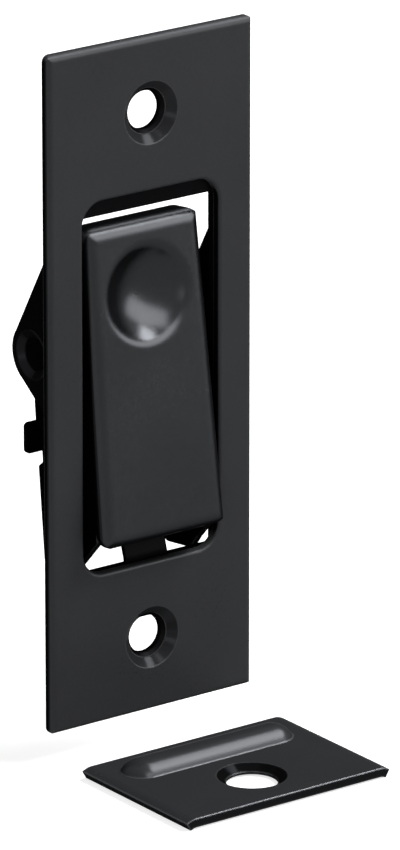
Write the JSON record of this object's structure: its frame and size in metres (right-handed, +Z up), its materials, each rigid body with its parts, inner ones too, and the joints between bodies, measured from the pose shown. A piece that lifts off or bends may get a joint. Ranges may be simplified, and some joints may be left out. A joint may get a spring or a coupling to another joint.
{
  "type": "mortise jamb bolt with strike plate",
  "caption": "Flush jamb bolt for a sliding or double door: a rocker in a slotted face plate throws out when its dimple is pressed, with a separate strike plate.",
  "frame": {"origin": "midway between the face plate's two screw holes, on the back of the frame, which seats on the floor of the mortise", "axes": "+X across the plate to the right as seen from in front, +Y into the door, +Z up the plate"},
  "size_m": [0.027, 0.036, 0.0793],
  "materials": {
    "black_paint": "satin",
    "black_frame": "satin",
    "pivot_black": "gloss",
    "spring_steel": "satin",
    "bush_steel": "satin"
  },
  "bodies": {
    "lock_case": {"face_plate": "black_paint", "housing_frame": "black_frame", "pivot_tube": "pivot_black", "spacer_bush_left": "bush_steel", "spacer_bush_right": "bush_steel", "leaf_spring": "spring_steel", "spring_rivet": "bush_steel", "strike_plate": "black_paint"},
    "rocker": {"rocker_bolt": "black_paint"}
  },
  "joints": [
    {"name": "rocker_pivot", "type": "hinge", "parent": "lock_case", "child": "rocker", "pos_m": [0, 0.0043, 0.0031], "axis": [1, 0, 0], "range_deg": [0, 7]}
  ]
}
